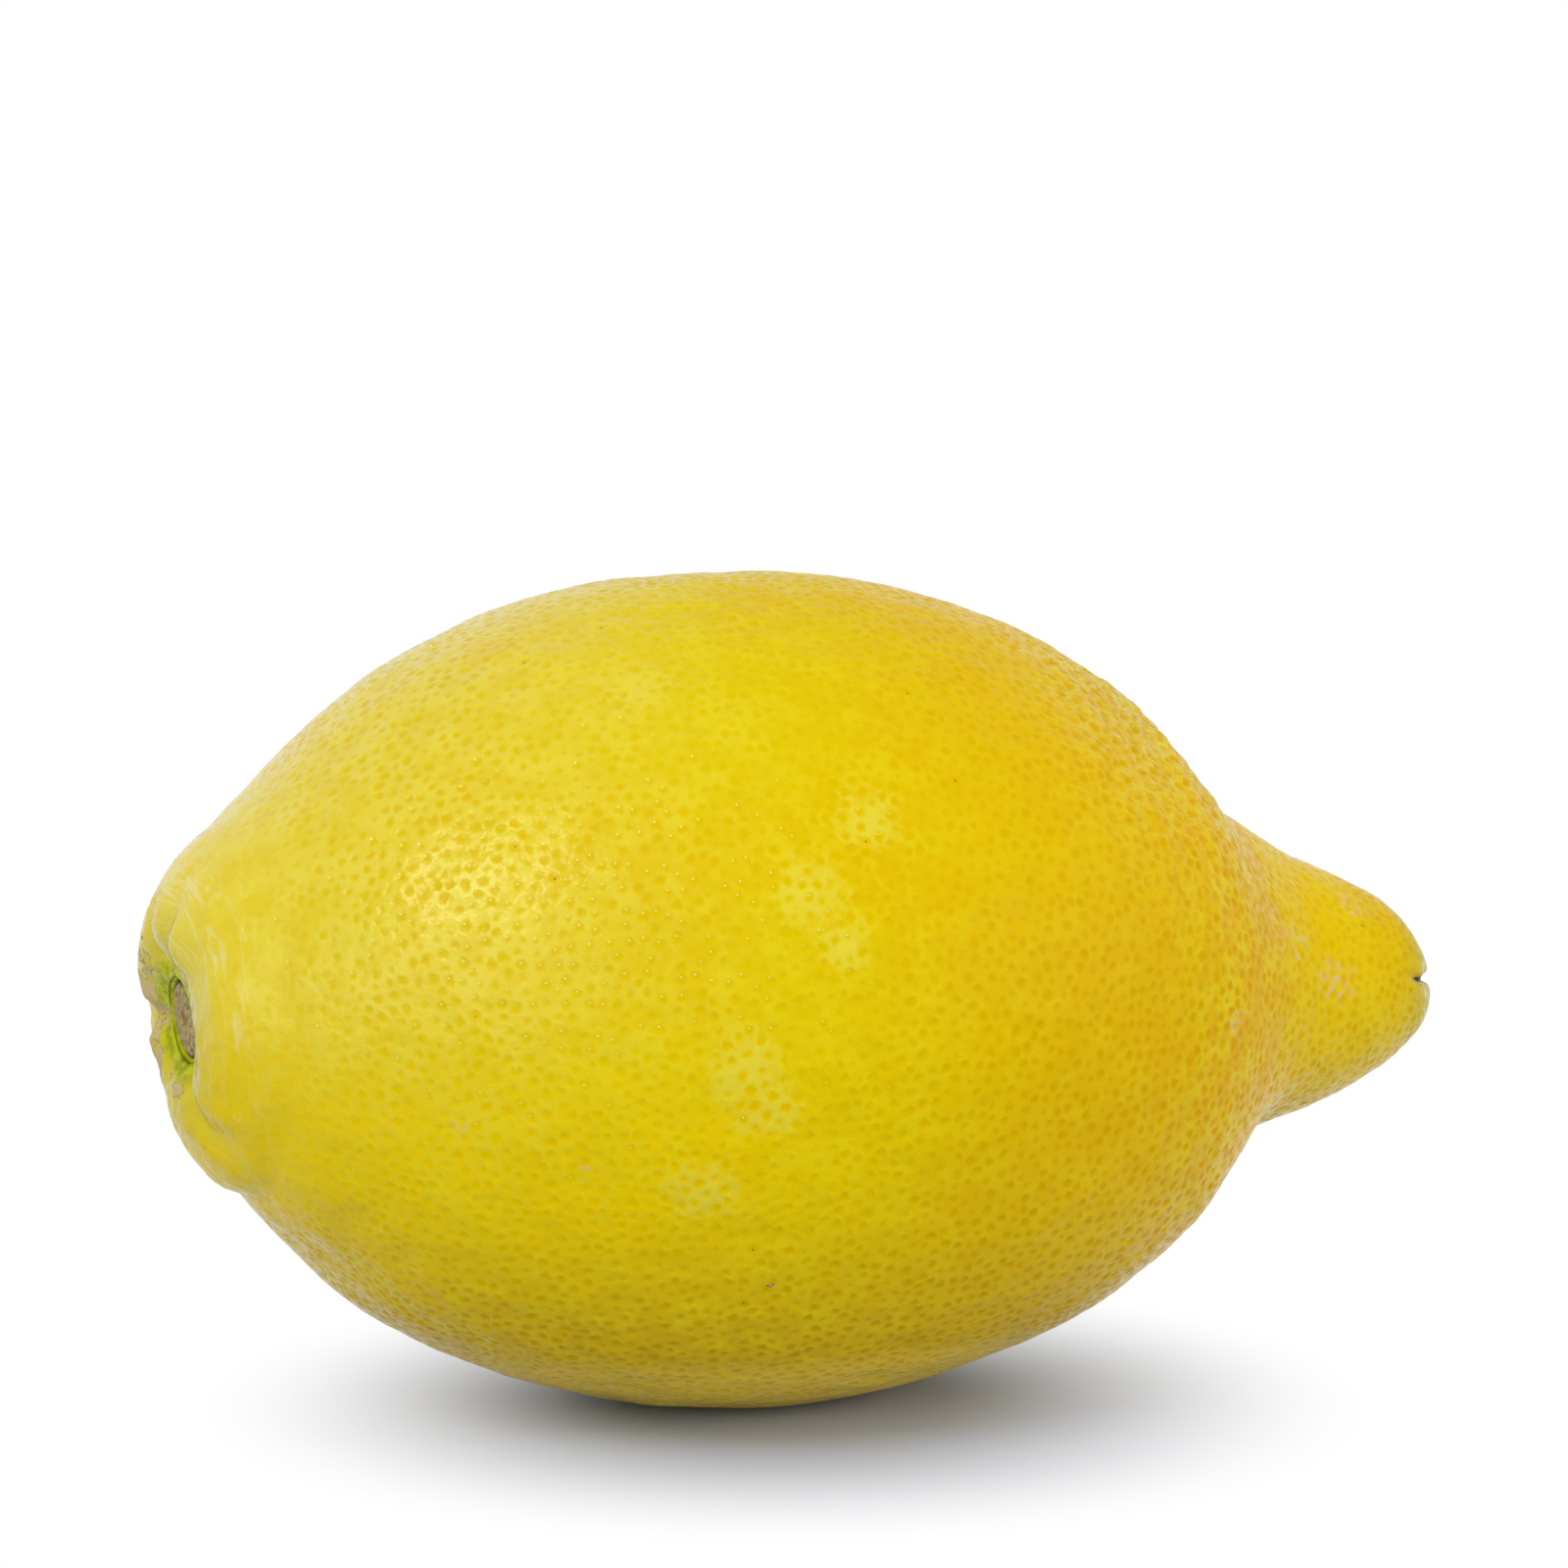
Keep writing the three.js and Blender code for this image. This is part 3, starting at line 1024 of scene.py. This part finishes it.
def rindMaterial():
    look = rindLook
    material, tree = newTree("waxy yellow rind")
    grain = rindNoises(tree, millimetres(tree))
    pore = poreParts(tree, grain)
    cork = spread(tree, grain["island"], 0.79, 0.83)
    colour = groundColour(tree, grain, pore)
    colour = drawLines(tree, colour, grain, pore)
    colour = paintEnds(tree, colour, grain)
    colour = paintPores(tree, colour, pore)
    colour = paintCork(tree, colour, grain)
    height = rindHeight(tree, grain, pore, cork)
    bump = add(tree, "Bump", {"Strength": 1.0, "Distance": mm, "Height": height})
    setInputs(tree, tree.nodes["Principled BSDF"], {
        "Base Color": colour,
        "Roughness": spread(tree, cork, 0, 1, look["roughness"], look["corkRoughness"]),
        "Specular IOR Level": rindGloss(tree, pore),
        "Specular Tint": (*look["specularTint"], 1),
        "Subsurface Weight": look["subsurface"],
        "Subsurface Radius": look["subsurfaceReach"],
        "Subsurface Scale": mm,
        "Normal": bump.outputs["Normal"],
    })
    return material


rind = makeRind()
rind.data.materials.append(rindMaterial())
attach(rind, "root")
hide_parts("fruit")
print("rind made")


# The stub of the stalk: a low, dry, woody disc.

stub = {
    "radius": 2.70,
    "ragged": 0.02,                 # share by which its edge strays from a circle
    "crownOut": 0.30,
    "edgeFall": 0.16,
    "edgeFrom": (0.8, 1.0),         # of the way out
    "pithDip": 0.22,
    "pithAt": 0.1,                  # of the way out, and its reach
    "pithReach": 0.12,
    "footOut": -0.42,
    "footShare": 0.97,              # of the radius
    "rings": 30,
    "corners": 110,
    "relief": 0.10,
    "bump": 0.12,
    "roughness": 0.85,
    "wood": (0.52, 0.40, 0.15),
    "woodShade": (0.22, 0.155, 0.06),
    "pith": (0.32, 0.18, 0.03),
    "pithEnds": (0.24, 0.4),        # of the way out
    # painted shade of the gap round the stub: near black on its very edge and on its side in the socket
    "rim": (0.05, 0.04, 0.015),
    "gapShadeFrom": (0.98, 1.05),        # the same; where the painted shade of the gap begins
}


def makeStub():
    corners, rings = stub["corners"], stub["rings"]
    circle = ringOf(corners)
    outline = stub["radius"] * (1 + stub["ragged"] * wander(circle * 3, 1.2, 6))
    spots = [stubMiddle + stub["crownOut"] * stemOut]
    outwards = [0.0]
    for ring in range(1, rings + 1):
        out = ring / rings
        dip = stub["pithDip"] * bell(out - stub["pithAt"], stub["pithReach"])
        height = stub["crownOut"] - stub["edgeFall"] * eased(out, *stub["edgeFrom"]) - dip
        spots += list(stubMiddle + (out * outline)[:, None] * circle + height * stemOut)
        outwards += [out] * corners
    spots = np.array(spots)
    spots = spots + (stub["relief"] * wander(spots, 0.5, 7, 3))[:, None] * stemOut
    footMiddle = stubMiddle + stub["footOut"] * stemOut
    foot = stubMiddle + outline[:, None] * stub["footShare"] * circle + stub["footOut"] * stemOut
    spots = np.vstack([spots, foot, [footMiddle]])
    outwards += [1.0] * (corners + 1)
    faces = [(0, 1 + (k + 1) % corners, 1 + k) for k in range(corners)]
    for ring in range(rings):
        faces += ringFaces(1 + ring * corners, 1 + (ring + 1) * corners, corners)
    faces += fanFaces(1 + rings * corners, len(spots) - 1, corners)
    mesh = bpy.data.meshes.new("stalk_stub")
    mesh.from_pydata((raiseStem(spots) * mm).tolist(), [], faces)
    mesh.update()
    mesh.shade_smooth()
    addAttribute(mesh, "outwards", outwards)
    return addObject("stalk_stub", mesh)


def stubMaterial():
    material, tree = newTree("dry stalk wood")
    outwards = stored(tree, "outwards")
    grain = cloud(tree, millimetres(tree), 0.4, 4, 0.7)
    colour = blend(tree, spread(tree, grain, 0.38, 0.6), stub["woodShade"], stub["wood"])
    pith = plus(tree, outwards, times(tree, grain, 0.2))
    pith = spread(tree, pith, *stub["pithEnds"], 1.0, 0.0)
    colour = blend(tree, pith, colour, stub["pith"])
    # painted shade of the gap round the stub, on its edge and its side
    rim = spread(tree, plus(tree, outwards, times(tree, grain, 0.12)), *stub["gapShadeFrom"])
    bump = add(tree, "Bump", {"Strength": 0.8, "Distance": stub["bump"] * mm, "Height": grain})
    setInputs(tree, tree.nodes["Principled BSDF"], {
        "Base Color": blend(tree, rim, colour, stub["rim"]),
        "Roughness": stub["roughness"],
        "Normal": bump.outputs["Normal"],
    })
    return material


stubPiece = makeStub()
stubPiece.data.materials.append(stubMaterial())
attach(stubPiece, "root")
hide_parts("stem_stub")
print("stub made")


# The studio: a pale grey table that fades to white away from the fruit, so that a painted shadow lies
# round its real one, three soft lamps, and the camera.

studio = {
    "floorSize": 12.0,              # metres
    "floorGrey": (0.50, 0.54, 0.70),        # cool, against the yellow that the fruit throws on it
    "floorRoughness": 0.9,
    "fadeAt": (-3, -4, 0),          # from under the fruit outwards it fades to plain white; the grey near the fruit is a painted shadow
    "fadeFrom": 10,
    "fadeTo": 43,
    "world": 0.62,
    "azimuth": -19,
    "elevation": 9,
    "distance": 601.8,
    "across": 112.3,                # how much of the plane of the fruit's outline the view takes in
    "outlineNearer": 1.8,           # that plane is this much nearer than the middle of the fruit
    "aimRight": -1.6,
    "aimUp": 14.3,
    "sensorWidth": 36,
    "clip": (0.01, 50),             # metres
}
lamps = {                           # direction from the fruit, metres, and power in watts
    "key": {"from": (-0.60, -0.385, 0.70), "distance": 1.4, "size": 0.55, "power": 3.55},
    "right": {"from": (0.72, -0.66, 0.1), "distance": 1.4, "size": 1.2, "power": 8.7},
    "left": {"from": (-0.72, -0.6, 0.1), "distance": 1.4, "size": 1.6, "power": 7.1},
}


def isSeen(tree):
    # 1 for rays that show the background itself, and 0 for those that only carry its light.
    path = add(tree, "LightPath").outputs
    seen = larger(tree, path["Is Camera Ray"], path["Is Glossy Ray"])
    return larger(tree, seen, path["Is Transmission Ray"])


def floorMaterial():
    material, tree = newTree("white table")
    shader = tree.nodes["Principled BSDF"]
    setInputs(tree, shader, {
        "Base Color": (*studio["floorGrey"], 1),
        "Roughness": studio["floorRoughness"],
        "Specular IOR Level": 0.0,
    })
    # Painted shadow: near the fruit the camera sees the lit grey table, with its real shadow, and plain
    # white further out.
    distance = vectors(tree, "DISTANCE", millimetres(tree), studio["fadeAt"])
    far = spread(tree, distance, studio["fadeFrom"], studio["fadeTo"])
    white = add(tree, "Emission", {"Color": (1, 1, 1, 1), "Strength": 1.0})
    inputs = {0: times(tree, far, isSeen(tree)), 1: shader.outputs[0], 2: white.outputs[0]}
    mixed = add(tree, "MixShader", inputs)
    setInputs(tree, tree.nodes["Material Output"], {"Surface": mixed.outputs[0]})
    return material


def makeFloor():
    half = studio["floorSize"] / 2
    corners = [(-half, -half, 0), (half, -half, 0), (half, half, 0), (-half, half, 0)]
    mesh = bpy.data.meshes.new("floor")
    mesh.from_pydata(corners, [], [(0, 1, 2, 3)])
    mesh.materials.append(floorMaterial())
    floor = addObject("floor", mesh)


def makeWorld():
    world = bpy.data.worlds.new("soft studio")
    world.use_nodes = True
    bpy.context.scene.world = world
    tree = world.node_tree
    setInputs(tree, tree.nodes["Background"], {
        "Color": (1, 1, 1, 1),
        "Strength": spread(tree, isSeen(tree), 0, 1, studio["world"], 1.0),
    })


def makeLamp(name, lamp):
    light = bpy.data.lights.new(name, "AREA")
    light.shape = "DISK"
    light.size = lamp["size"]
    light.energy = lamp["power"]
    away = Vector(lamp["from"]).normalized()
    made = addObject(name, light)
    made.location = Vector(fruitMiddle * mm) + away * lamp["distance"]
    made.rotation_euler = away.to_track_quat("Z", "Y").to_euler()


def makeCamera():
    turn, rise = math.radians(studio["azimuth"]), math.radians(studio["elevation"])
    back = Vector((math.sin(turn) * math.cos(rise), -math.cos(turn) * math.cos(rise), math.sin(rise)))
    right = Vector((math.cos(turn), math.sin(turn), 0))
    up = back.cross(right)
    lens = bpy.data.cameras.new("camera")
    lens.sensor_width = studio["sensorWidth"]
    toOutline = studio["distance"] - studio["outlineNearer"]
    lens.lens = studio["sensorWidth"] * toOutline / studio["across"]
    lens.clip_start, lens.clip_end = studio["clip"]
    camera = addObject("camera", lens)
    aim = Vector(fruitMiddle) + right * studio["aimRight"] + up * studio["aimUp"]
    camera.location = (aim + back * studio["distance"]) * mm
    camera.rotation_euler = back.to_track_quat("Z", "Y").to_euler()
    bpy.context.scene.camera = camera


makeFloor()
makeWorld()
for name, lamp in lamps.items():
    makeLamp(name, lamp)
makeCamera()
bpy.context.scene.view_settings.view_transform = "Standard"
print("studio ready")
